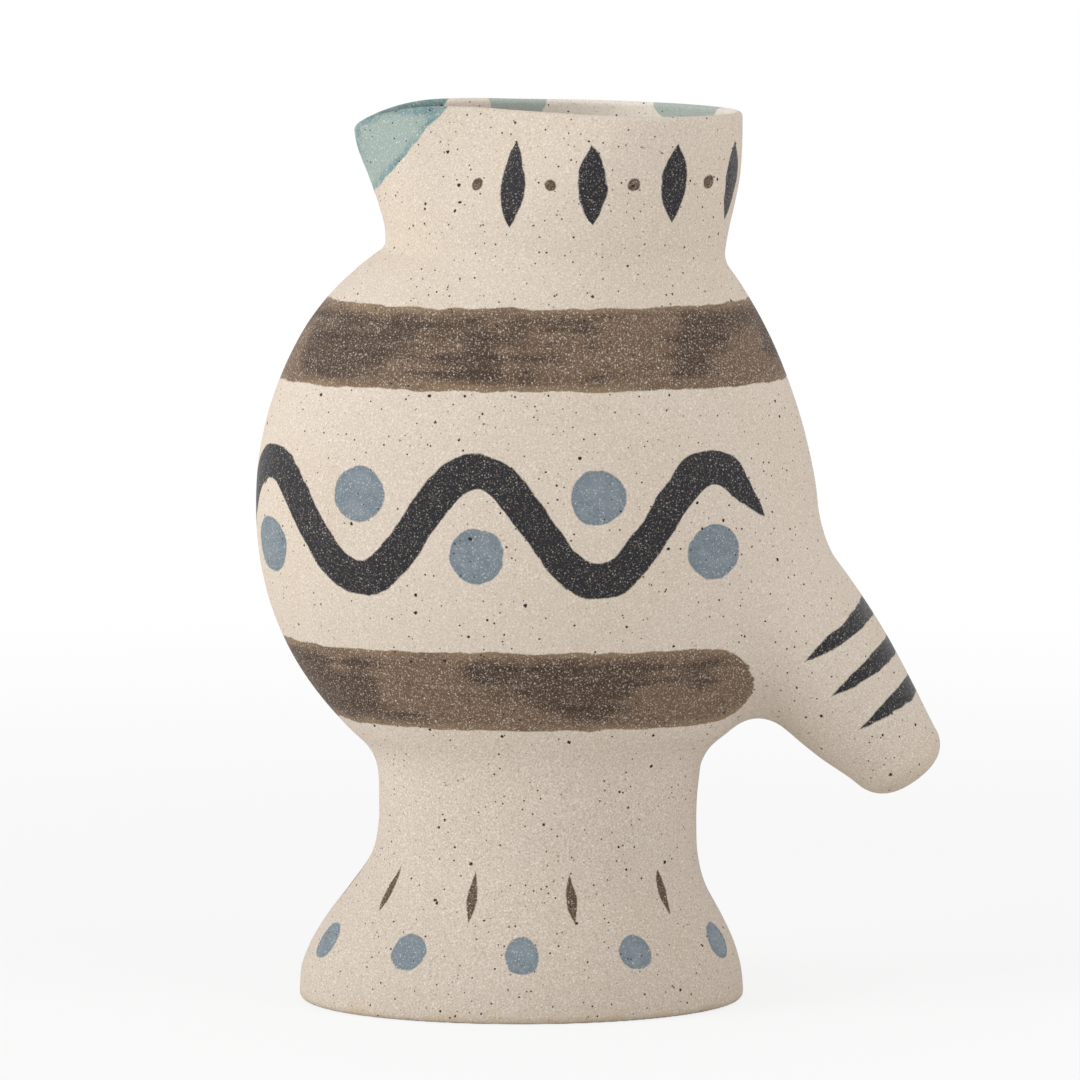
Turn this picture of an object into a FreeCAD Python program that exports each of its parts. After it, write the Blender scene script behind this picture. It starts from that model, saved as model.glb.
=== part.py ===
# A bird-shaped stoneware vase: a flared oval foot, an oval body made of two bowls, a neck whose
# rim is pinched into a beak, and a hollow tail. Millimetres, +Z up. The beak points to -X and the tail to +X.
# The origin is the middle of the flat ring that the foot stands on.
import FreeCAD, Part
import math
import os

from FreeCAD import Vector

# Girths of the vase, from the ground up. Reaches are measured from the upright axis
# through the foot: forwards to the beak, backwards to the tail, and to each side.
foot_height = 5.0
foot_front_reach = 69.6
foot_back_reach = 69.4
foot_side_reach = 54.0
foot_edge_tuck = 1.8

waist_height = 64.0
waist_front_reach = 44.9
waist_back_reach = 55.4
waist_side_reach = 39.5

belly_height = 155.0
belly_front_reach = 83.5
belly_back_reach = 93.2
belly_side_reach = 56.0

neck_height = 235.7
neck_front_reach = 43.0
neck_back_reach = 64.6
neck_side_reach = 41.5
neck_slope_rise = 1.6
neck_slope_fade = 40.0

neck_length = 44.3
rim_height = neck_height + neck_length
rim_front_reach = 52.8
rim_back_reach = 69.5
rim_side_reach = 39.5
rim_widest_back = 28.0
beak_drop = 5.6
beak_shoulder_rise = 2.2

# The tail's middle line, from its tip up into the body
tail_overhang = 30.1
tail_tip_reach = belly_back_reach + tail_overhang
tail_tip_rise = 4.0
tail_tip_height = waist_height + tail_tip_rise
tail_angle = 55.0
tail_length = 100.0
tail_bow = 2.7
tail_root_thickness = 45.0
tail_tip_thickness = 28.4
tail_root_side_reach = 36.0
tail_tip_side_reach = 18.5
tail_tip_radius = 9.0
# The soft corner between tail and body is a share of the room between tail tip and waist
tail_blend_share = 0.22
tail_blend_radius = tail_blend_share * (tail_tip_reach - waist_back_reach)

# Walls and joints
wall = 4.6
lip_wall = 3.4
lip_radius = 1.3
foot_ring_width = 7.0
foot_recess = 2.6
floor_thickness = 5.5
foot_joint_rise = 6.0
foot_joint_height = waist_height + foot_joint_rise
body_joint_rise = 12.0
body_joint_height = belly_height + body_joint_rise
joint_lap = 4.0
tail_joint_setback = 7.2
tail_joint_reach = belly_back_reach - tail_joint_setback
tail_joint_rise = 51.0
tail_joint_height = waist_height + tail_joint_rise
tail_joint_lean = 22.0

overrun = 25.0
touch = 0.01

# How far each girth is on its way from the named girth below to the one above, as shares:
# (height, front reach, back reach, side reach)
foot_to_waist_shares = (
    (0.08, 0.025, 0.05, 0.04),
    (0.21, 0.14, 0.195, 0.165),
    (0.37, 0.365, 0.47, 0.41),
    (0.53, 0.64, 0.78, 0.70),
    (0.69, 0.90, 0.945, 0.92),
    (0.84, 0.985, 0.98, 0.985),
)
waist_to_belly_shares = (
    (0.06, 0.0, 0.015, 0.004),
    (0.11, 0.016, 0.04, 0.025),
    (0.17, 0.079, 0.12, 0.09),
    (0.24, 0.246, 0.31, 0.24),
    (0.33, 0.433, 0.49, 0.42),
    (0.45, 0.64, 0.675, 0.625),
    (0.60, 0.819, 0.83, 0.81),
    (0.80, 0.957, 0.955, 0.955),
)
belly_to_neck_shares = (
    (0.12, 0.009, 0.04, 0.009),
    (0.25, 0.04, 0.12, 0.04),
    (0.38, 0.098, 0.222, 0.105),
    (0.50, 0.182, 0.333, 0.19),
    (0.62, 0.292, 0.468, 0.30),
    (0.74, 0.446, 0.62, 0.45),
    (0.86, 0.658, 0.80, 0.66),
    (0.94, 0.836, 0.92, 0.84),
)
# The same up the neck, with how far the plan has turned from an oval to the pinched mouth
neck_to_rim_shares = (
    (0.16, 0.02, 0.2, 0.05, 0.0),
    (0.33, 0.235, 0.55, 0.25, 0.07),
    (0.53, 0.556, 0.88, 0.55, 0.30),
    (0.75, 0.94, 1.0, 0.80, 0.68),
)
above_rim_share = 1.2

# Half plan of the pinched mouth, from the tail side to the beak's tip, as shares of its side
# reach at equal turns
pinched_side_shares = (0.0, 0.31, 0.59, 0.81, 0.95, 1.0, 0.80, 0.55, 0.385, 0.15, 0.0)

# The rim seen from the side, as shares: (way from beak tip to tail side, beak drop, rise)
rim_line_shares = (
    (-0.08, -1.7, 0.0),
    (0.0, -1.0, 0.0),
    (0.05, -0.42, 0.0),
    (0.11, 0.0, 0.1),
    (0.18, 0.0, 0.8),
    (0.27, 0.0, 1.0),
    (0.45, 0.0, 0.6),
    (0.70, 0.0, 0.05),
    (1.0, 0.0, -0.3),
    (1.08, 0.0, -0.35),
)

# The tail from root to tip, as shares: (way along, bow, thickness, side reach)
tail_shares = (
    (0.0, 0.35, 0.125, 0.87),
    (0.25, -0.55, 1.0, 1.0),
    (0.55, -1.0, 1.0, 0.6),
    (0.75, -0.75, 0.6, 0.27),
    (0.90, -0.25, 0.125, 0.07),
    (1.0, 0.0, 0.0, 0.0),
)
tail_outline_points = 16


def between(low, high, share):
    return low + (high - low) * share


class Girth:
    """One level outline of the vase, with its wall."""

    def __init__(self, height, front, back, side, pinch=0.0, wall_here=wall):
        self.height = height
        self.front = front
        self.back = back
        self.side = side
        self.pinch = pinch
        self.wall = wall_here

    def points(self, inset_share):
        """The outline from the beak side round, moved inwards by a share of the wall."""
        widest = between((self.back - self.front) / 2, rim_widest_back, self.pinch)
        turns = len(pinched_side_shares) - 1
        half = []
        for number in range(turns + 1):
            angle = math.pi * number / turns
            reach = self.back - widest if 2 * number <= turns else self.front + widest
            side_share = between(math.sin(angle), pinched_side_shares[number], self.pinch)
            half.append(Vector(widest + reach * math.cos(angle), self.side * side_share, 0))
        half.reverse()
        around = half + [Vector(point.x, -point.y, 0) for point in reversed(half[1:-1])]
        around = inset_outline(around, self.wall * inset_share)
        fade = max(0, 1 - abs(self.height - neck_height) / neck_slope_fade)
        slope = 2 * neck_slope_rise * fade / (self.front + self.back)
        middle = (self.back - self.front) / 2
        return [Vector(point.x, point.y, self.height - slope * (point.x - middle)) for point in around]


def inset_outline(points, inset):
    """Moves a closed outline inwards, square to itself. Its points run clockwise from above."""
    moved = []
    for number, point in enumerate(points):
        along = points[(number + 1) % len(points)] - points[number - 1]
        inward = Vector(along.y, -along.x, 0).normalize()
        moved.append(point + inward * inset)
    return moved


def outline_wire(points):
    curve = Part.BSplineCurve()
    curve.interpolate(Points=points, PeriodicFlag=True)
    return Part.Wire([curve.toShape()])


def girths_between(low, high, shares):
    rows = []
    for height_share, front_share, back_share, side_share in shares:
        rows.append(Girth(
            between(low.height, high.height, height_share),
            between(low.front, high.front, front_share),
            between(low.back, high.back, back_share),
            between(low.side, high.side, side_share),
        ))
    return rows


ground = Girth(
    0.0,
    foot_front_reach - foot_edge_tuck,
    foot_back_reach - foot_edge_tuck,
    foot_side_reach - foot_edge_tuck,
)
foot = Girth(foot_height, foot_front_reach, foot_back_reach, foot_side_reach)
waist = Girth(waist_height, waist_front_reach, waist_back_reach, waist_side_reach)
belly = Girth(belly_height, belly_front_reach, belly_back_reach, belly_side_reach)
neck = Girth(neck_height, neck_front_reach, neck_back_reach, neck_side_reach)


def body_form(inset_share):
    """The foot and body as one closed form, from the ground to the neck."""
    girths = [ground, foot]
    girths += girths_between(foot, waist, foot_to_waist_shares) + [waist]
    girths += girths_between(waist, belly, waist_to_belly_shares) + [belly]
    girths += girths_between(belly, neck, belly_to_neck_shares) + [neck]
    return Part.makeLoft([outline_wire(girth.points(inset_share)) for girth in girths], True)


def neck_form(inset_share):
    """The neck as one closed form, from the body to above the rim, before the rim is cut."""
    rim = Girth(rim_height, rim_front_reach, rim_back_reach, rim_side_reach, 1.0, lip_wall)
    above = Girth(
        between(neck_height, rim_height, above_rim_share),
        rim_front_reach,
        rim_back_reach,
        rim_side_reach,
        1.0,
        lip_wall,
    )
    girths = [neck]
    for height_share, front_share, back_share, side_share, pinch in neck_to_rim_shares:
        girths.append(Girth(
            between(neck.height, rim.height, height_share),
            between(neck.front, rim.front, front_share),
            between(neck.back, rim.back, back_share),
            between(neck.side, rim.side, side_share),
            pinch,
            between(wall, lip_wall, height_share),
        ))
    girths += [rim, above]
    return Part.makeLoft([outline_wire(girth.points(inset_share)) for girth in girths], True)


def tail_form(inset):
    """The tail as one closed form with a rounded tip. Its root lies inside the body."""
    angle = math.radians(tail_angle)
    along = Vector(math.cos(angle), 0, -math.sin(angle))
    up = Vector(math.sin(angle), 0, math.cos(angle))
    tip = Vector(tail_tip_reach, 0, tail_tip_height)
    wires = []
    for way, bow, thickness_share, side_share in tail_shares:
        middle = tip - along * (tail_length * (1 - way)) + up * (tail_bow * bow)
        if way == 1.0:
            middle -= along * inset
        half = between(tail_tip_thickness, tail_root_thickness, thickness_share) / 2 - inset
        side = between(tail_tip_side_reach, tail_root_side_reach, side_share) - inset
        points = []
        for number in range(tail_outline_points):
            turn = 2 * math.pi * number / tail_outline_points
            points.append(middle + up * (half * math.cos(turn)) + Vector(0, side * math.sin(turn), 0))
        wires.append(outline_wire(points))
    form = Part.makeLoft(wires, True)
    end = max((edge for edge in form.Edges if edge.isClosed()), key=lambda edge: edge.BoundBox.Center.x)
    return form.makeFillet(tail_tip_radius - inset, [end])


def blended(body, tail, radius):
    """The body with the tail drawn out of it."""
    joined = body.fuse(tail)
    creases = []
    for edge in joined.Edges:
        middle = Part.Vertex(edge.valueAt((edge.FirstParameter + edge.LastParameter) / 2))
        if lies_on(body, middle) and lies_on(tail, middle):
            creases.append(edge)
    return joined.makeFillet(radius, creases)


def lies_on(solid, vertex):
    return solid.Shells[0].distToShape(vertex)[0] < touch


def level_slab(low, high):
    """Everything between two heights."""
    reach = belly_front_reach + belly_back_reach + tail_length
    corner = Vector(-reach, -reach, low)
    return Part.makeBox(2 * reach, 2 * reach, high - low, corner)


def above_rim():
    """What the wavy rim line, drawn from the side, cuts off the neck."""
    length = rim_front_reach + rim_back_reach
    line = []
    for way, drop, rise in rim_line_shares:
        height = rim_height + beak_drop * drop + beak_shoulder_rise * rise
        line.append(Vector(length * way - rim_front_reach, 0, height))
    front = line[0] - Vector(overrun, 0, 0)
    back = line[-1] + Vector(overrun, 0, 0)
    lift = Vector(0, 0, 2 * overrun)
    curve = Part.BSplineCurve()
    curve.interpolate(Points=line)
    edges = [curve.toShape()]
    corners = [line[-1], back, back + lift, front + lift, front, line[0]]
    edges += [Part.makeLine(start, end) for start, end in zip(corners, corners[1:])]
    side = 2 * rim_side_reach
    face = Part.Face(Part.Wire(edges))
    face.translate(Vector(0, -side, 0))
    return face.extrude(Vector(0, 2 * side, 0))


def rearmost(shape):
    """The solid nearest the tail's tip, without the back of the foot below it."""
    return max(shape.Solids, key=lambda solid: solid.BoundBox.XMax)


def behind_tail_joint():
    """The space behind the leaning flat joint where the tail is stuck on."""
    size = 2 * (tail_length + belly_back_reach)
    space = Part.makeBox(size, size, size, Vector(0, -size / 2, -size / 2))
    space.rotate(Vector(0, 0, 0), Vector(0, 1, 0), tail_joint_lean)
    space.translate(Vector(tail_joint_reach, 0, tail_joint_height))
    return space


def rounded_lip(tube):
    """The neck cut to its wavy rim line, with both edges of the lip rounded."""
    lip = tube.cut(above_rim())
    edges = [edge for edge in lip.Edges if edge.BoundBox.ZMin > rim_height - 2 * beak_drop]
    return lip.makeFillet(lip_radius, edges)


outer = body_form(0)
hollow = body_form(1)
mid_wall = body_form(0.5)

# The base is a disc dropped on the ledge inside the foot ring.
foot_space = level_slab(0, foot_joint_height)
base_floor = hollow.common(level_slab(foot_recess, foot_recess + floor_thickness))
foot_hollow = hollow.common(level_slab(foot_recess, foot_joint_height))
recess = body_form(foot_ring_width / wall).common(level_slab(0, foot_recess))

# Both bowls of the body and the neck end in a collar, half a wall thick, that seats in the
# piece below.
foot_lap = mid_wall.common(level_slab(foot_joint_height - joint_lap, foot_joint_height))
body_lap = mid_wall.common(level_slab(body_joint_height - joint_lap, body_joint_height))
neck_lap = mid_wall.common(level_slab(neck_height - joint_lap - neck_slope_rise, rim_height))
pedestal_foot = outer.common(foot_space).cut(foot_hollow).cut(recess).cut(foot_lap)
neck_collar = rounded_lip(neck_form(0).cut(neck_form(1))).fuse(neck_lap.cut(hollow))

# The tail is blended into the body's lower bowl. A flat leaning joint parts them inside the
# tail's root. The upper bowl is set on the lower one, rim to rim.
lower_space = level_slab(foot_joint_height, body_joint_height)
upper_space = level_slab(body_joint_height, rim_height)
tail_space = behind_tail_joint()
outer_blend = blended(outer, tail_form(0), tail_blend_radius)
hollow_blend = blended(hollow, tail_form(wall), tail_blend_radius)
tail_shell = rearmost(outer_blend.common(tail_space)).cut(rearmost(hollow_blend.common(tail_space)))
lower_outer = outer_blend.common(lower_space).cut(tail_space)
lower_bowl = lower_outer.cut(hollow_blend).cut(body_lap).fuse(foot_lap.cut(hollow))
upper_outer = outer_blend.common(upper_space).cut(tail_space)
upper_bowl = upper_outer.cut(hollow_blend).cut(neck_lap).fuse(body_lap.cut(hollow))

pieces = {
    "base_floor": base_floor,
    "pedestal_foot": pedestal_foot,
    "lower_bowl": lower_bowl,
    "upper_bowl": upper_bowl,
    "tail_shell": tail_shell,
    "neck_collar": neck_collar,
}
os.makedirs("parts", exist_ok=True)
for name, shape in pieces.items():
    print(name, "solids", len(shape.Solids), "valid", shape.isValid(), "volume", round(shape.Volume))
    shape.exportStep("parts/" + name + ".step")
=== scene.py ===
import math

import bmesh
import bpy
import numpy as np
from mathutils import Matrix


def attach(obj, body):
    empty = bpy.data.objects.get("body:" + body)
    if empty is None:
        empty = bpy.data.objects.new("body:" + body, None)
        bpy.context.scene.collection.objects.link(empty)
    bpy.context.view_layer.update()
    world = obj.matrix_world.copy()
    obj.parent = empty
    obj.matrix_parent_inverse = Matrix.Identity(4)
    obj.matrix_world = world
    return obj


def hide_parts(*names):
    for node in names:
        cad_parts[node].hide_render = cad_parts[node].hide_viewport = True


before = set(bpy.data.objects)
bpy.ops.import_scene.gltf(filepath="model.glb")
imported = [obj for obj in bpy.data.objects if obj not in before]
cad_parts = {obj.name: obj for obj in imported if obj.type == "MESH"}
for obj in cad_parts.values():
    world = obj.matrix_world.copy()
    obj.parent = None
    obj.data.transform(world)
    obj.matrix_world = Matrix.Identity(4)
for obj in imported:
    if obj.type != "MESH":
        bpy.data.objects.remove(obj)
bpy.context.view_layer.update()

import openvdb
from mathutils import Vector


# The foot. It is a flared oval pedestal, open inside, in the same even wall as the whole vase and
# sponged smooth where the body is joined to it. Blue slip dots and brown dashes are brushed round
# it, and its bottom edge has taken a warmer colour in the kiln.
mm = 0.001

# The clay is worked out as a distance from the vase's outer skin, in millimetres. Each row here
# is a level outline of foot and body: height, then reach to the front, to the back and to a side
body_girths = np.array((
    (-6, 70.2, 70.1, 54.2),
    (5, 69.9, 69.8, 53.9),
    (10, 69.4, 69.2, 53.4),
    (17, 66.8, 67.3, 51.6),
    (27, 60.8, 62.8, 47.8),
    (36, 53.9, 58.0, 43.7),
    (46, 47.2, 55.6, 40.6),
    (55, 45.1, 55.2, 39.7),
    (64, 44.9, 55.4, 39.5),
    (70, 45.0, 56.0, 39.6),
    (75, 45.7, 56.8, 40.1),
    (80, 48.2, 59.7, 41.2),
    (86, 54.3, 66.7, 43.5),
    (94, 61.5, 73.5, 46.4),
    (105, 69.5, 80.7, 49.8),
    (119, 76.6, 86.8, 53.0),
    (137, 81.8, 91.5, 55.3),
    (155, 83.4, 93.1, 55.9),
    (175, 81.9, 89.9, 55.4),
    (195, 76.2, 83.8, 53.2),
    (205, 71.7, 79.8, 51.6),
    (215, 65.8, 74.9, 49.4),
    (225, 57.4, 69.0, 46.2),
    (236, 44.3, 61.8, 41.4),
    (243, 33.0, 60.0, 36.0),
    (254, 14.0, 46.0, 22.0),
))

# The wall's thickness at two heights, and how deep under the skin its paint gives way to bare clay
wall_thins = ((226, 4.6), (282, 3.4))
inside_depth = 1.7

# The ring that the vase stands on, and the seat inside it where the base is pressed in
foot_edge_round = 2.4
foot_ring_width = 7.0
foot_ring_round = 1.0
foot_ring_height = 2.6
foot_lift = 0.04
seat_height = 9.0
seat_overlap = 0.25

# How far the hand-made skin wavers, and for each axis the waver's length and start
waver = 0.2
waver_waves = ((31.0, 1.0), (27.0, 2.0), (38.0, 0.0))

# Spacing of the mesh's points, the step over which a slope is felt, the least values that are
# divided by, and how near to a joint, in metres, a point or a face counts as on it
fine, coarse = 0.8, 1.3
feel = 0.05
least_steep = 0.25
nearly_nothing = 1e-9
cut_nearness, joint_nearness = 1e-7, 1e-6

# Forms pressed on to the body with the fillets round them, and forms that cut the wall off
attached = []
cut_off = []


def drawn_through(rows, at):
    """Smooth curves through a table's columns, read at places along its first column."""
    stations, values = rows[:, 0], rows[:, 1:]
    slopes = np.gradient(values, stations, axis=0)
    at = np.clip(at, stations[0], stations[-1])
    spot = np.clip(np.searchsorted(stations, at) - 1, 0, len(stations) - 2)
    gap = (stations[spot + 1] - stations[spot])[..., None]
    way = (at - stations[spot])[..., None] / gap
    level = values[spot] * (1 + 2 * way) * (1 - way) ** 2 + values[spot + 1] * (3 - 2 * way) * way ** 2
    lean = slopes[spot] * way * (1 - way) ** 2 - slopes[spot + 1] * way ** 2 * (1 - way)
    return np.moveaxis(level + lean * gap, -1, 0)


def from_oval(across, half, aside, reach):
    """The distance outside an oval, measured in its own plane."""
    out = np.hypot(across / half, aside / reach)
    steep = np.hypot(across / half ** 2, aside / reach ** 2)
    return out * (out - 1) / np.maximum(steep, nearly_nothing)


def leaned(form, x, y, z):
    """A form's level distance, made shorter where its side leans."""
    lean = (form(x, y, z + feel) - form(x, y, z - feel)) / (2 * feel)
    return form(x, y, z) / np.hypot(1, lean)


def joined(one, other, soft):
    """Two forms pressed together, with the corner between them filled to a radius."""
    return np.maximum(soft, np.minimum(one, other)) - np.hypot(
        np.maximum(soft - one, 0), np.maximum(soft - other, 0)
    )


def trimmed(one, other, soft):
    """What two forms share, with the edge where they meet rounded to a radius."""
    return -joined(-one, -other, soft)


def level_form(x, y, z):
    """The level distance outside the foot and body."""
    front, back, side = drawn_through(body_girths, z)
    return from_oval(x - (back - front) / 2, (front + back) / 2, y, side)


def skin(x, y, z):
    """The distance outside the vase's outer skin, with all that is attached so far."""
    whole = leaned(level_form, x, y, z)
    for form, rounds in attached:
        whole = joined(whole, form(x, y, z), np.interp(z, *zip(*rounds)))
    uneven = 1
    for way, (length, start) in zip((x, y, z), waver_waves):
        uneven = uneven * np.sin(way / length + start)
    return whole + waver * (1 + uneven)


def clay(x, y, z):
    """The distance outside the clay, which is hollow and stands on a foot ring."""
    outside = skin(x, y, z)
    thickness = np.interp(z, *zip(*wall_thins)) + np.where(z < seat_height, seat_overlap, 0)
    hollow = np.maximum(outside + thickness, foot_ring_height - z)
    dished = np.maximum(outside + foot_ring_width, z - foot_ring_height - seat_overlap)
    under = foot_lift - z
    shell = np.maximum(
        trimmed(outside, under, foot_edge_round),
        trimmed(-np.minimum(hollow, dished), under, foot_ring_round),
    )
    for form, soft in cut_off:
        shell = trimmed(shell, form(x, z), soft)
    return shell


def slopes_of_clay(points):
    """Which way the clay's surface faces at some points."""
    steps = np.eye(3) * feel
    slopes = [clay(*(points + step).T) - clay(*(points - step).T) for step in steps]
    return np.array(slopes).T / (2 * feel)


def formed(name, low, high, grain, joints):
    """One piece of the wall, meshed between two corners and cut flat at its joints.

    Each point of the mesh takes one step along the slope of the clay, on to its surface."""
    low, high = np.array(low, float), np.array(high, float)
    counts = np.ceil((high - low) / grain).astype(int) + 1
    lines = [low[axis] + grain * np.arange(counts[axis]) for axis in range(3)]
    x, y, z = np.meshgrid(*lines, indexing="ij", sparse=True)
    volume = openvdb.FloatGrid()
    volume.copyFromArray(clay(x, y, z).astype(np.float32))
    points, quads = volume.convertToQuads(isovalue=0)
    points = points.astype(float) * grain + low
    slopes = slopes_of_clay(points)
    steep = np.maximum((slopes ** 2).sum(1), least_steep)
    points -= np.clip(clay(*points.T) / steep, -grain / 2, grain / 2)[:, None] * slopes
    mesh = bpy.data.meshes.new(name)
    mesh.from_pydata(points * mm, [], quads[:, ::-1].tolist())
    shape = bmesh.new()
    shape.from_mesh(mesh)
    for place, facing in joints:
        everything = shape.verts[:] + shape.edges[:] + shape.faces[:]
        bmesh.ops.bisect_plane(
            shape, geom=everything, dist=cut_nearness, plane_co=Vector(place) * mm,
            plane_no=Vector(facing), clear_outer=True,
        )
        rim = [edge for edge in shape.edges if edge.is_boundary]
        bmesh.ops.triangle_fill(shape, edges=rim, use_beauty=True, normal=Vector(facing))
    bmesh.ops.recalc_face_normals(shape, faces=shape.faces)
    shape.to_mesh(mesh)
    shape.free()
    return mesh


def read_from(items, name, kind, width):
    """One value of every vertex, corner or face of a mesh, as rows."""
    flat = np.empty(len(items) * width, kind)
    items.foreach_get(name, flat)
    return flat.reshape(-1, width)


def smoothed(mesh, joints):
    """Faces the mesh as the clay does, so that no joint shows, but leaves the joints flat."""
    facing = slopes_of_clay(read_from(mesh.vertices, "co", np.float32, 3).astype(float) / mm)
    facing /= np.linalg.norm(facing, axis=1)[:, None]
    normals = facing[read_from(mesh.loops, "vertex_index", np.int32, 1)[:, 0]]
    centres = read_from(mesh.polygons, "center", np.float32, 3)
    on_joint = np.zeros(len(centres), bool)
    for place, way in joints:
        way = np.array(way) / np.linalg.norm(way)
        on_joint |= np.abs((centres - np.array(place) * mm) @ way) < joint_nearness
    corners = read_from(mesh.polygons, "loop_total", np.int32, 1)[:, 0]
    flat = np.repeat(read_from(mesh.polygons, "normal", np.float32, 3), corners, axis=0)
    at_joint = np.repeat(on_joint, corners)
    normals[at_joint] = flat[at_joint]
    mesh.shade_smooth()
    mesh.normals_split_custom_set(normals.tolist())


def piece_of_vase(node, space, grain, joints, painted, unseen):
    """A piece that stands for a node, meshed between the corners of its space.

    It is painted clay outside and bare clay inside."""
    mesh = formed(node + "_clay", *space, grain, joints)
    smoothed(mesh, joints)
    mesh.materials.append(painted)
    mesh.materials.append(unseen)
    depth = skin(*(read_from(mesh.polygons, "center", np.float32, 3).astype(float) / mm).T)
    mesh.polygons.foreach_set("material_index", (depth < -inside_depth).astype(np.int32))
    piece = bpy.data.objects.new(node + "_clay", mesh)
    bpy.context.collection.objects.link(piece)
    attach(piece, "root")
    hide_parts(node)


class Tone:
    """A value or a colour over a surface. Sums on values add Math nodes."""

    def __init__(self, tree, socket):
        self.tree = tree
        self.socket = socket

    def node(self, kind, settings, sockets, output=0):
        """Adds a node of any kind: first its settings, then its sockets' values or links."""
        made = self.tree.nodes.new(kind)
        for name, setting in settings.items():
            setattr(made, name, setting)
        for name, given in sockets.items():
            if isinstance(given, Tone):
                self.tree.links.new(given.socket, made.inputs[name])
            else:
                made.inputs[name].default_value = given
        return Tone(self.tree, made.outputs[output])

    def maths(self, operation, *values):
        """What a Math node makes of some values, this one among them."""
        return self.node("ShaderNodeMath", {"operation": operation}, dict(enumerate(values)))

    def __add__(self, other):
        return self.maths("ADD", self, other)

    def __sub__(self, other):
        return self.maths("SUBTRACT", self, other)

    def __rsub__(self, other):
        return self.maths("SUBTRACT", other, self)

    def __mul__(self, other):
        return self.maths("MULTIPLY", self, other)

    def __truediv__(self, other):
        return self.maths("DIVIDE", self, other)

    def __rtruediv__(self, other):
        return self.maths("DIVIDE", other, self)

    __radd__ = __add__
    __rmul__ = __mul__

    def __abs__(self):
        return self.maths("ABSOLUTE", self)

    def root(self):
        return self.maths("SQRT", self)

    def sine(self):
        return self.maths("SINE", self)

    def cosine(self):
        return self.maths("COSINE", self)

    def angle_over(self, other):
        """The angle of a place this far up and another value across."""
        return self.maths("ARCTAN2", self, other)

    def whole(self):
        return self.maths("FLOOR", self)

    def under(self, limit):
        return self.maths("LESS_THAN", self, limit)

    def least(self, other):
        return self.maths("MINIMUM", self, other)

    def most(self, other):
        return self.maths("MAXIMUM", self, other)

    def rising(self, low, high):
        """From 0 to 1 as the value goes from low to high."""
        return self.node(
            "ShaderNodeMapRange", {"interpolation_type": "SMOOTHSTEP"},
            {"Value": self, "From Min": low, "From Max": high},
        )

    def mixed_into(self, one, other):
        """A colour that goes from one to another as this value goes from 0 to 1."""
        return self.node("ShaderNodeMix", {"data_type": "RGBA"}, {0: self, 6: one, 7: other}, 2)

    def mixed(self, other, share):
        """This colour with a share of another over it."""
        return share.mixed_into(self, other)


# The clay is a sandy cream stoneware with white grit and dark iron specks that have melted
# through, fired without a clear glaze. Paint is laid on it as it was brushed, layer by layer
cream = (0.69, 0.595, 0.50, 1)
pale_cream = (0.88, 0.81, 0.72, 1)
sandy_tan = (0.47, 0.375, 0.285, 1)
warm_cream = (0.655, 0.54, 0.42, 1)
# A darker clay colour mixed in low down, as painted shade
painted_shade_clay = (0.50, 0.43, 0.365, 1)
grit_pale = (0.84, 0.78, 0.69, 1)
iron_tan = (0.33, 0.23, 0.14, 1)
iron_black = (0.026, 0.019, 0.016, 1)
clay_rough = 0.75
iron_rough = 0.6
clay_shine = 0.22

# Clouds of unevenness in the clay, each as the size of its patches and how fine their detail is.
# A range is where in a cloud a colour comes in, and a share is how much of it shows
grain_cloud = (0.55, 3)
warm_cloud, warm_range, warm_share = (42, 3), (0.4, 0.7), 0.45
lump_cloud = (2.6, 2)

# The grain shows pale and tan, more so low down, and the clay is painted darker towards the foot: painted
# shade, where less light falls
pale_range, pale_share, pale_more = (0.52, 0.7), 0.65, 0.3
tan_range, tan_share, tan_more = (0.5, 0.32), 0.38, 0.45
coarser_down = (115, 55)
painted_shade_down, painted_shade_share = (150, 0), 0.42

# Specks, each as spacing, largest radius and how many of the places hold one, and how far they show
coarse_grit, coarse_grit_shows = (0.95, 0.24, 0.65), 0.75
fine_grit, fine_grit_shows = (0.6, 0.2, 0.7), 0.4
tan_specks, tan_specks_show = (1.9, 0.27, 0.8), 0.7
small_iron, large_iron = (2.4, 0.33, 0.85), (6.0, 0.6, 0.85)
speck_ragged, speck_edge = 1.8, 0.05

# Relief of grain, grit, lumps and sunken iron, as shares of its depth in millimetres
relief_depth, relief_strength = 0.3, 0.55
grain_relief, grit_relief, lump_relief, iron_relief = 0.75, 0.15, 0.5, 0.1

# How soft a painted edge is, how it wanders, as size, detail and reach, and the tops of the grain,
# where paint is thinner
edge_soft = 0.3
edge_bends, edge_nicks = (9, 2, 2.4), (1.6, 1, 0.4)
grain_tops = (0.5, 0.68)


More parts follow.
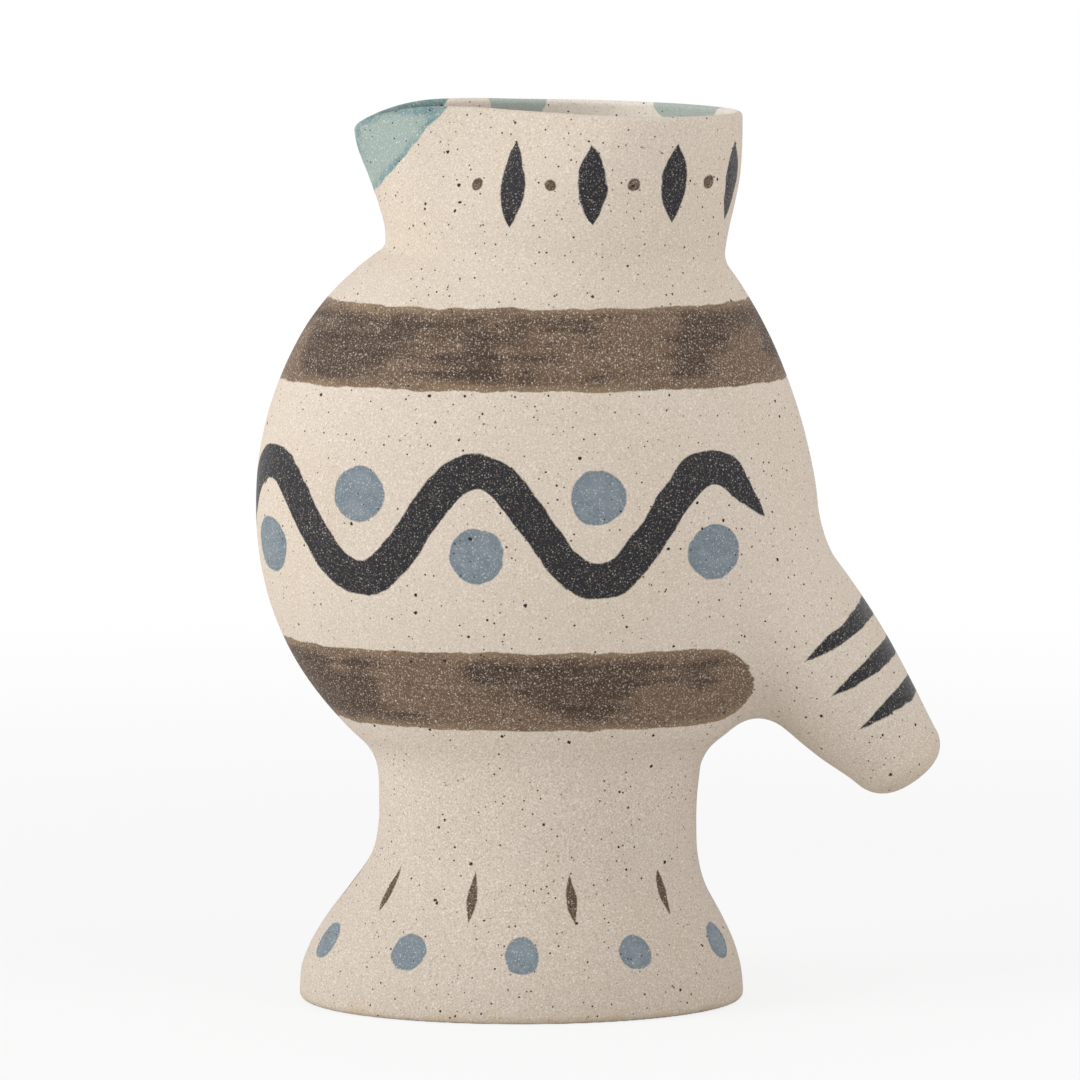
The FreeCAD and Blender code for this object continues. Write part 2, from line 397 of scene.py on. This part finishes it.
class Ware:
    """A material that is built up from bare clay by brushing paint over it."""

    def __init__(self, name, ground=cream):
        self.material = bpy.data.materials.new(name)
        self.material.use_nodes = True
        self.tree = self.material.node_tree
        self.start = Tone(self.tree, None)
        metres = self.start.node("ShaderNodeTexCoord", {}, {}, "Object")
        self.place = self.start.node(
            "ShaderNodeVectorMath", {"operation": "SCALE"}, {0: metres, "Scale": 1 / mm},
        )
        self.x, self.y, self.z = (
            self.start.node("ShaderNodeSeparateXYZ", {}, {0: self.place}, axis) for axis in range(3)
        )
        bends, nicks = (
            (self.cloud(size, detail) - 0.5) * reach for size, detail, reach in (edge_bends, edge_nicks)
        )
        self.wobble = bends + nicks
        self.grain = self.cloud(*grain_cloud)
        warmer = self.cloud(*warm_cloud).rising(*warm_range) * warm_share
        colour = warmer.mixed_into(ground, warm_cream)
        coarser = self.z.rising(*coarser_down)
        pale = self.grain.rising(*pale_range) * (coarser * pale_more + pale_share)
        tan = self.grain.rising(*tan_range) * (coarser * tan_more + tan_share)
        colour = colour.mixed(pale_cream, pale).mixed(sandy_tan, tan)
        # Painted shade: the clay's colour is darkened towards the foot
        self.colour = colour.mixed(painted_shade_clay, self.z.rising(*painted_shade_down) * painted_shade_share)
        self.rough = clay_rough
        coarse_specks = self.specks(*coarse_grit) * coarse_grit_shows
        self.grit = coarse_specks.most(self.specks(*fine_grit) * fine_grit_shows)

    def cloud(self, size, detail):
        """Soft uneven patches of about a size in millimetres."""
        return self.start.node(
            "ShaderNodeTexNoise", {}, {"Vector": self.place, "Scale": 1 / size, "Detail": detail},
        )

    def specks(self, spacing, radius, share):
        """Scattered specks up to a radius, in a share of the places where one could be."""
        cells = {"Vector": self.place, "Scale": 1 / spacing}
        away = self.start.node("ShaderNodeTexVoronoi", {}, cells, "Distance") * spacing
        chance = self.start.node("ShaderNodeTexVoronoi", {}, cells, "Color")
        pick, size = (
            self.start.node("ShaderNodeSeparateColor", {}, {0: chance}, part) for part in ("Red", "Green")
        )
        ragged = (self.grain - 0.5) * radius * speck_ragged
        inside = size * 0.5 * radius + 0.5 * radius + ragged - away
        return inside.rising(-speck_edge, speck_edge) * pick.under(share)

    def brush(self, inside, paint):
        """Paint laid where the distance inside its edge, in millimetres, is over zero.

        A paint is its colour, its roughness, the share of the grit under it that it hides, and the
        share by which it thins over the grain of the clay."""
        colour, rough, hides, thins = paint
        laid = (inside + self.wobble).rising(-edge_soft, edge_soft)
        self.grit = self.grit * (1 - laid * hides)
        laid = laid * (1 - self.grain.rising(*grain_tops) * thins)
        self.colour = self.colour.mixed(colour, laid)
        self.rough = laid * (rough - self.rough) + self.rough
        return laid

    def fired(self):
        """The finished material, with grit standing through the paint and iron specks in it."""
        colour = self.colour.mixed(grit_pale, self.grit)
        colour = colour.mixed(iron_tan, self.specks(*tan_specks) * tan_specks_show)
        iron = self.specks(*small_iron).most(self.specks(*large_iron))
        colour = colour.mixed(iron_black, iron)
        rough = iron * (iron_rough - self.rough) + self.rough
        relief = (
            self.grain * grain_relief + self.grit * grit_relief + self.cloud(*lump_cloud) * lump_relief
            - iron * iron_relief
        )
        facing = relief.node(
            "ShaderNodeBump", {},
            {"Strength": relief_strength, "Distance": relief_depth * mm, "Height": relief},
        )
        shader = self.tree.nodes["Principled BSDF"]
        shader.inputs["Specular IOR Level"].default_value = clay_shine
        for name, value in (("Base Color", colour), ("Roughness", rough), ("Normal", facing)):
            self.tree.links.new(value.socket, shader.inputs[name])
        return self.material


def around(ware, oval, count):
    """A turn round an oval, in repeats of a motif, and the width of one repeat.

    The oval is its middle, half its length and half its width."""
    middle, long, wide = oval
    turn = (ware.y / wide).angle_over((ware.x - middle) / long)
    mean, swing = (long + wide) / 2, (long - wide) / 4
    length = turn * mean - (turn * 2).sine() * swing
    width = 2 * math.pi * mean / count
    return length / width, width


def from_nearest(repeats, width, shift=0.0):
    """The distance in millimetres past the middle of the nearest repeat."""
    moved = repeats + shift
    return (moved - moved.whole() - 0.5) * width


def dot(across, up, radius):
    """How far inside a round dot a place is."""
    return radius - (across * across + up * up).root()


def lozenge(across, up, half, reach):
    """How far inside a pointed stroke, upright and twice its reach long, a place is."""
    way = up / reach
    return (1 - way * way) * half - abs(across)


# Blue slip is paler in patches inside a dot's rim
slate_slip = ((0.17, 0.215, 0.25, 1), 0.65, 0.35, 0.22)
pale_slate = (0.255, 0.30, 0.325, 1)
slip_cloud, slip_range = (5, 2), (0.35, 0.65)
pale_inside, pale_slip_share = (0.4, 2.2), 0.6

# The kiln has left ochre patches along the bottom edge
edge_ochre = (0.55, 0.425, 0.27, 1)
ochre_cloud, ochre_range = (6, 2), (0.25, 0.7)
ochre_rise, ochre_share = (6, 0.5), 0.6

brown_stain = ((0.095, 0.06, 0.036, 1), 0.6, 0.35, 0.2)
bare_clay = (0.60, 0.505, 0.40, 1)
foot_oval = (0, 64, 49)
foot_dots = 10
foot_dot_height, foot_dot_radius = 21.0, 5.4
foot_dash_height, foot_dash_half, foot_dash_reach = 38.0, 1.7, 7.0


def slip_dot(ware, inside):
    """A dot of matt blue slip, thicker and darker at its edge."""
    shade = ware.cloud(*slip_cloud).rising(*slip_range)
    laid = ware.brush(inside, slate_slip)
    pale = laid * shade * inside.rising(*pale_inside) * pale_slip_share
    ware.colour = ware.colour.mixed(pale_slate, pale)


unseen_clay = Ware("bare_inside", bare_clay).fired()
foot_ware = Ware("foot_stoneware")
edge_patches = foot_ware.cloud(*ochre_cloud).rising(*ochre_range)
ochre = foot_ware.z.rising(*ochre_rise) * edge_patches * ochre_share
foot_ware.colour = foot_ware.colour.mixed(edge_ochre, ochre)
repeats, width = around(foot_ware, foot_oval, foot_dots)
slip_dot(foot_ware, dot(from_nearest(repeats, width), foot_ware.z - foot_dot_height, foot_dot_radius))
up = foot_ware.z - foot_dash_height
dash = lozenge(from_nearest(repeats, width, 0.5), up, foot_dash_half, foot_dash_reach)
foot_ware.brush(dash, brown_stain)
foot_space = ((-74, -58, -3), (74, 58, 73))
foot_joint = (0, 0, 70)
upwards, downwards = (0, 0, 1), (0, 0, -1)
piece_of_vase(
    "pedestal_foot", foot_space, coarse, [(foot_joint, upwards)], foot_ware.fired(), unseen_clay,
)


# The base. It is a flat disc of the same clay, pressed in above the foot ring and wiped with a
# damp sponge, which leaves it a shade darker and sandier than the outside.
wiped_clay = (0.58, 0.46, 0.335, 1)
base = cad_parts["base_floor"]
base.data.materials.clear()
base.data.materials.append(Ware("wiped_base", wiped_clay).fired())


# The body. It is two bowls joined rim to rim, with the neck and the tail's root pressed on while soft.
# Two broad bands of brown wash run round it, the lower one as far as the tail, with a black wavy
# line between them and a dot of blue slip in each bend of the line.
neck_girths = np.array((
    (222, 42.6, 63.3, 41.6),
    (236, 42.6, 63.8, 41.5),
    (243, 42.8, 65.0, 41.4),
    (250, 44.6, 66.6, 41.0),
    (259, 47.7, 68.3, 40.4),
    (269, 51.4, 69.0, 39.9),
    (280, 52.6, 69.1, 39.5),
    (292, 52.6, 69.1, 39.4),
))
neck_start = 226.0
neck_crease = ((neck_start, 1.4),)

# The beak is pinched out of the neck's front. Each row is a place from beak tip (-1) to the
# widest part (0), and how many times narrower than an oval the neck is there. The pinch comes
# on with height, from none to all of it
beak_widest = 28.0
beak_pinch = np.array((
    (-1.0, 2.1), (-0.95, 2.0), (-0.81, 1.54), (-0.59, 1.44), (-0.31, 1.19),
    (-0.15, 1.06), (0.0, 1.01), (0.15, 1.0), (0.4, 1.0),
))
beak_rise = np.array(((236, 0.0), (250, 0.07), (259, 0.30), (269, 0.68), (280, 1.0), (292, 1.0)))

# The tail, measured from its tip: way along, bow of its middle line, half thickness, reach sideways
tail_tip = (122.1, 69.6)
tail_angle = math.radians(55)
tail_end_round = 7.5
tail_blend = ((105, 13.0), (140, 7.0))
tail_girths = np.array((
    (-150, 5.0, 6.0, 8.0),
    (-125, 3.0, 11.0, 20.0),
    (-100, 1.0, 17.0, 30.0),
    (-75, -1.0, 21.5, 33.0),
    (-43, -2.2, 22.3, 29.0),
    (-23, -1.1, 18.8, 23.2),
    (-9, 0.4, 15.2, 19.7),
    (0, 1.0, 13.7, 18.5),
    (10, 1.2, 13.0, 18.0),
))


def level_neck(x, y, z):
    """The level distance outside the neck, oval below and pinched to a beak above."""
    front, back, side = drawn_through(neck_girths, z)
    pinch, = drawn_through(beak_rise, z)
    across = x - (back - front) / 2 * (1 - pinch) - beak_widest * pinch
    widest = x - across
    half = np.where(across > 0, back - widest, front + widest)
    narrower, = drawn_through(beak_pinch, across / half)
    return from_oval(across, half, y, side / (1 + pinch * (narrower - 1)))


def neck_form(x, y, z):
    """The neck, from where it starts on the body."""
    return np.maximum(leaned(level_neck, x, y, z), neck_start - z)


def tail_form(x, y, z):
    """The tail, as a bowed oval tube with a rounded end."""
    back, up = x - tail_tip[0], z - tail_tip[1]
    along = back * math.cos(tail_angle) - up * math.sin(tail_angle)
    over = back * math.sin(tail_angle) + up * math.cos(tail_angle)
    bow, half, side = drawn_through(tail_girths, along)
    tube = np.maximum(from_oval(over - bow, half, y, side), tail_girths[0, 0] - along)
    return trimmed(tube, along, tail_end_round)


attached += [(neck_form, neck_crease), (tail_form, tail_blend)]

# Each joint is flat: a place on it, and the way it faces
body_joint = (0, 0, 167)
neck_joint = (10.8, 0, 235.7)
neck_joint_lean = (0.0297, 0, 1)
tail_joint = (86, 0, 115)
tail_joint_dip = math.radians(22)
tail_joint_lean = (math.cos(tail_joint_dip), 0, -math.sin(tail_joint_dip))

body_oval = (4.9, 88, 56)
gloss_black = ((0.017, 0.016, 0.019, 1), 0.45, 0.5, 0.08)
brown_wash = ((0.158, 0.098, 0.06, 1), 0.65, 0.25, 0.35)

# The bands, each as its height and how far back it ends, and the streaks that the brush leaves
bands, band_half = ((103.0, 70.0), (209.0, 150.0)), 12.5
band_end_flat, band_end_ragged = 0.85, 3
streak_long, streak_high, streak_detail = 30, 2.6, 3

# A full brush leaves dark patches inside the edge, and streaks
wash_dark = (0.054, 0.033, 0.023, 1)
load_cloud, load_range, load_share = (34, 2), (0.44, 0.55), 0.8
load_streaks = 0.2
streak_range, streak_share = (0.5, 0.75), 0.3
dark_inside = (0.8, 4.5)

# The wash has run thin and pale in patches along its edge
wash_pale = (0.27, 0.185, 0.105, 1)
thin_cloud, thin_range, thin_share = (17, 2), (0.3, 0.6), 0.8
thin_streaks = 5
thin_inside = (0.2, 2.6)

# The wavy line between the bands and the dots in its bends
waves = 6
line_height, line_swing, line_half = 155.0, 17.0, 5.4
line_end, line_taper = 80.0, 16.0
dots_end = 74.0
wave_dot_radius, wave_dot_drop = 8.6, 9.0


def wash_band(ware, height, end, length):
    """A broad band of brown wash, patchy where brush loads overlap and pale at its edges."""
    way = ware.start.node(
        "ShaderNodeCombineXYZ", {}, {0: length / streak_long, 1: ware.z / streak_high, 2: 0.0},
    )
    streaks = ware.start.node(
        "ShaderNodeTexNoise", {}, {"Vector": way, "Scale": 1.0, "Detail": streak_detail},
    )
    past_end = ware.x - end + band_half + (streaks - 0.5) * band_end_ragged
    inside = dot(past_end.most(0) * band_end_flat, ware.z - height, band_half)
    laid = ware.brush(inside, brown_wash)
    load = (ware.cloud(*load_cloud) + (streaks - 0.5) * load_streaks).rising(*load_range)
    dark = load * load_share + streaks.rising(*streak_range) * streak_share
    middle = (inside + ware.wobble * 2).rising(*dark_inside)
    ware.colour = ware.colour.mixed(wash_dark, laid * laid * dark.least(1.0) * middle)
    thin = 1 - (inside + (streaks - 0.5) * thin_streaks).rising(*thin_inside)
    patches = ware.cloud(*thin_cloud).rising(*thin_range)
    ware.colour = ware.colour.mixed(wash_pale, laid * thin * patches * thin_share)


body_ware = Ware("body_stoneware")
repeats, width = around(body_ware, body_oval, waves)
for height, end in bands:
    wash_band(body_ware, height, end, repeats * width)
turn = repeats * 2 * math.pi
off_line = body_ware.z - line_height - turn.sine() * line_swing
slope = turn.cosine() * (2 * math.pi * line_swing / width)
half = body_ware.x.rising(line_end, line_end - line_taper) * (line_half + 1) - 1
body_ware.brush(half - abs(off_line) / (slope * slope + 1).root(), gloss_black)
for side, shift in ((1, 0.25), (-1, 0.75)):
    across = from_nearest(repeats, width, shift)
    inside = dot(across, body_ware.z - line_height + side * wave_dot_drop, wave_dot_radius)
    slip_dot(body_ware, inside.least(dots_end - body_ware.x))
painted_body = body_ware.fired()
lower_space = ((-88, -60, 67), (130, 60, 170))
upper_space = ((-88, -60, 164), (98, 60, 240))
piece_of_vase(
    "lower_bowl", lower_space, coarse,
    [(foot_joint, downwards), (body_joint, upwards), (tail_joint, tail_joint_lean)],
    painted_body, unseen_clay,
)
piece_of_vase(
    "upper_bowl", upper_space, coarse,
    [(body_joint, downwards), (neck_joint, neck_joint_lean)],
    painted_body, unseen_clay,
)


# The tail. It is a hollow flattened tube with a rounded end, stuck on while soft and blended into
# the body inside and out. Three tapered strokes of black cross its back.
tail_tan = (0.60, 0.47, 0.33, 1)
tan_rise, tan_end_share = (16, -4), 0.45
bar_places, bar_half, bar_reach = (25.0, 39.0, 53.0), 3.2, 25.0
tail_top = 21.0
tail_ware = Ware("tail_stoneware")
back, up = tail_ware.x - tail_tip[0], tail_ware.z - tail_tip[1]
along = up * math.sin(tail_angle) - back * math.cos(tail_angle)
over = back * math.sin(tail_angle) + up * math.cos(tail_angle)
for place in bar_places:
    stroke = lozenge(along - place, tail_top - over, bar_half, bar_reach)
    tail_ware.brush(stroke, gloss_black)
tail_ware.colour = tail_ware.colour.mixed(tail_tan, along.rising(*tan_rise) * tan_end_share)
tail_space = ((68, -42, 58), (138, 42, 160))
piece_of_vase(
    "tail_shell", tail_space, coarse,
    [(tail_joint, tuple(-part for part in tail_joint_lean))], tail_ware.fired(), unseen_clay,
)


# The neck. It is a thin-lipped collar whose front is pinched into a beak. The beak is dipped in
# teal glaze, black lozenges and brown dots go round the sides, and teal dabs sit inside the lip.
lip_round = 1.5

# The rim seen from the side: place along it, height
rim_line = np.array((
    (-64, 264.0),
    (-52.8, 274.4),
    (-46.7, 277.7),
    (-39.3, 280.2),
    (-30.8, 281.7),
    (-19.8, 282.1),
    (2.0, 281.3),
    (33.0, 280.1),
    (69.5, 279.3),
    (80, 279.2),
))


def above_rim(x, z):
    """How far above the rim line a place is."""
    return z - drawn_through(rim_line, x)[0]


cut_off.append((above_rim, lip_round))
neck_oval, mouth_oval = (9, 58, 41), (9, 55, 38)
teal_glaze = ((0.31, 0.395, 0.36, 1), 0.5, 0.2, 0.3)
pale_teal = ((0.42, 0.485, 0.44, 1), 0.6, 0.6, 0.25)

# The dip ends along a leaning line through a place on the rim. Its glaze pools along that line, on
# the lip, which lies lower at the beak's tip, and on the tip itself
dip_place, dip_way = (-24.0, 281.0), (-0.77, 0.638)
deep_teal = (0.095, 0.21, 0.24, 1)
deep_cloud, deep_range, deep_share = (3.5, 2), (0.25, 0.65), 0.8
pool_inside, pool_tip = (0.6, 2.6), (-47.5, -51.5)
lip_rise, lip_lift, lip_rise_along = (272.5, 275.5), 5.0, (-54, -38)

# Lozenges and dots outside, which stop short of the dip, and dabs inside
lozenges = 12
lozenge_height, lozenge_half, lozenge_reach = 259.0, 4.4, 12.5
lozenges_end = -16.0
neck_dot_radius = 2.0
dabs = 5
dab_height, dab_half, dab_reach = 283.0, 14.0, 13.0


def teal_dip(ware):
    """Glaze that the beak was dipped in: deep where it pools at its edge and on the lip."""
    inside = (ware.x - dip_place[0]) * dip_way[0] + (ware.z - dip_place[1]) * dip_way[1]
    laid = ware.brush(inside, teal_glaze)
    edge = 1 - (inside + ware.wobble).rising(*pool_inside)
    lip = (ware.z - ware.x.rising(*lip_rise_along) * lip_lift).rising(*lip_rise)
    pooled = edge.most(lip).most(ware.x.rising(*pool_tip))
    patches = ware.cloud(*deep_cloud).rising(*deep_range)
    ware.colour = ware.colour.mixed(deep_teal, laid * pooled * patches * deep_share)


neck_ware = Ware("neck_stoneware")
repeats, width = around(neck_ware, neck_oval, lozenges)
kept = neck_ware.x - lozenges_end
up = neck_ware.z - lozenge_height
inside = lozenge(from_nearest(repeats, width), up, lozenge_half, lozenge_reach).least(kept)
neck_ware.brush(inside, gloss_black)
inside = dot(from_nearest(repeats, width, 0.5), up, neck_dot_radius).least(kept)
neck_ware.brush(inside, brown_stain)
teal_dip(neck_ware)
# Inside the lip the ground is pale cream rather than the clay's own cream: painted light, brightening the
# inner wall where the lamps reach little
mouth_ware_painted_light = Ware("mouth_stoneware_painted_light", pale_cream)
repeats, width = around(mouth_ware_painted_light, mouth_oval, dabs)
dab = lozenge(from_nearest(repeats, width), mouth_ware_painted_light.z - dab_height, dab_half, dab_reach)
mouth_ware_painted_light.brush(dab, pale_teal)
teal_dip(mouth_ware_painted_light)
neck_space = ((-58, -45, 230), (75, 45, 286))
piece_of_vase(
    "neck_collar", neck_space, fine,
    [(neck_joint, tuple(-part for part in neck_joint_lean))], neck_ware.fired(), mouth_ware_painted_light.fired(),
)


# The studio. A white floor runs back without a corner, and the air round it is evenly bright. A
# soft lamp stands to the vase's left and a weak one close to its right, and the camera is far
# off and a little above it.
floor_size = 12.0
floor_grey = (0.8, 0.8, 0.8, 1)
pure_white = (1, 1, 1, 1)
sky_light = 0.66

# The floor glows white from far off, and a little less near the vase, where it keeps the shadow
floor_near, floor_far, floor_near_glow = 0.30, 1.1, 0.8
floor_mesh = bpy.data.meshes.new("floor")
floor_mesh.from_pydata(
    [(-floor_size, -floor_size, 0), (floor_size, -floor_size, 0), (floor_size, floor_size, 0),
     (-floor_size, floor_size, 0)], [], [(0, 1, 2, 3)],
)
floor = bpy.data.objects.new("floor", floor_mesh)
bpy.context.collection.objects.link(floor)
paper = bpy.data.materials.new("floor_white")
paper.use_nodes = True
shader = paper.node_tree.nodes["Principled BSDF"]
shader.inputs["Base Color"].default_value = floor_grey
shader.inputs["Roughness"].default_value = 0.9
shader.inputs["Specular IOR Level"].default_value = 0.1


def shows_white(tone):
    """1 for rays that show the background: straight to the camera, or by way of gloss or glass."""
    rays = ("Is Camera Ray", "Is Glossy Ray", "Is Transmission Ray")
    straight, gloss, glass = (tone.node("ShaderNodeLightPath", {}, {}, ray) for ray in rays)
    return straight.most(gloss).most(glass)


lit = Tone(paper.node_tree, shader.outputs[0])
place = lit.node("ShaderNodeTexCoord", {}, {}, "Object")
away = lit.node("ShaderNodeVectorMath", {"operation": "LENGTH"}, {0: place}, "Value")
glow = lit.node("ShaderNodeEmission", {}, {"Color": pure_white, "Strength": 1.0})
glowing = away.rising(floor_near, floor_far) * (1 - floor_near_glow) + floor_near_glow
share = glowing * shows_white(lit)
both = lit.node("ShaderNodeMixShader", {}, {0: share, 1: lit, 2: glow})
paper.node_tree.links.new(both.socket, paper.node_tree.nodes["Material Output"].inputs["Surface"])
floor_mesh.materials.append(paper)

sky = bpy.data.worlds.new("studio")
sky.use_nodes = True
sky_shader = sky.node_tree.nodes["Background"]
sky_shader.inputs["Color"].default_value = pure_white
sky_shader.inputs["Strength"].default_value = sky_light
air = Tone(sky.node_tree, sky_shader.outputs[0])
white = air.node("ShaderNodeBackground", {}, {"Color": pure_white, "Strength": 1.0})
both = air.node("ShaderNodeMixShader", {}, {0: shows_white(air), 1: air, 2: white})
sky.node_tree.links.new(both.socket, sky.node_tree.nodes["World Output"].inputs["Surface"])
bpy.context.scene.world = sky

# Each lamp has its place, its size and its power. Lamps and camera look at the vase's middle
look_at = Vector((0.0058, 0, 0.1449))
camera_place = (0.0058, -2.8, 0.463)
lamps = (("key", (-1.45, -0.62, 0.72), 0.9, 14.0), ("fill", (0.55, -0.35, 0.55), 0.3, 1.1))
for name, spot, size, power in lamps:
    light = bpy.data.lights.new(name, "AREA")
    light.energy = power
    light.size = size
    lamp = bpy.data.objects.new(name, light)
    lamp.location = spot
    lamp.rotation_euler = (look_at - lamp.location).to_track_quat("-Z", "Y").to_euler()
    bpy.context.collection.objects.link(lamp)

camera = bpy.data.cameras.new("camera")
camera.sensor_width = 36
camera.lens = 300
view = bpy.data.objects.new("camera", camera)
view.location = camera_place
view.rotation_euler = (look_at - view.location).to_track_quat("-Z", "Y").to_euler()
bpy.context.collection.objects.link(view)
bpy.context.scene.camera = view
bpy.context.scene.view_settings.view_transform = "Standard"
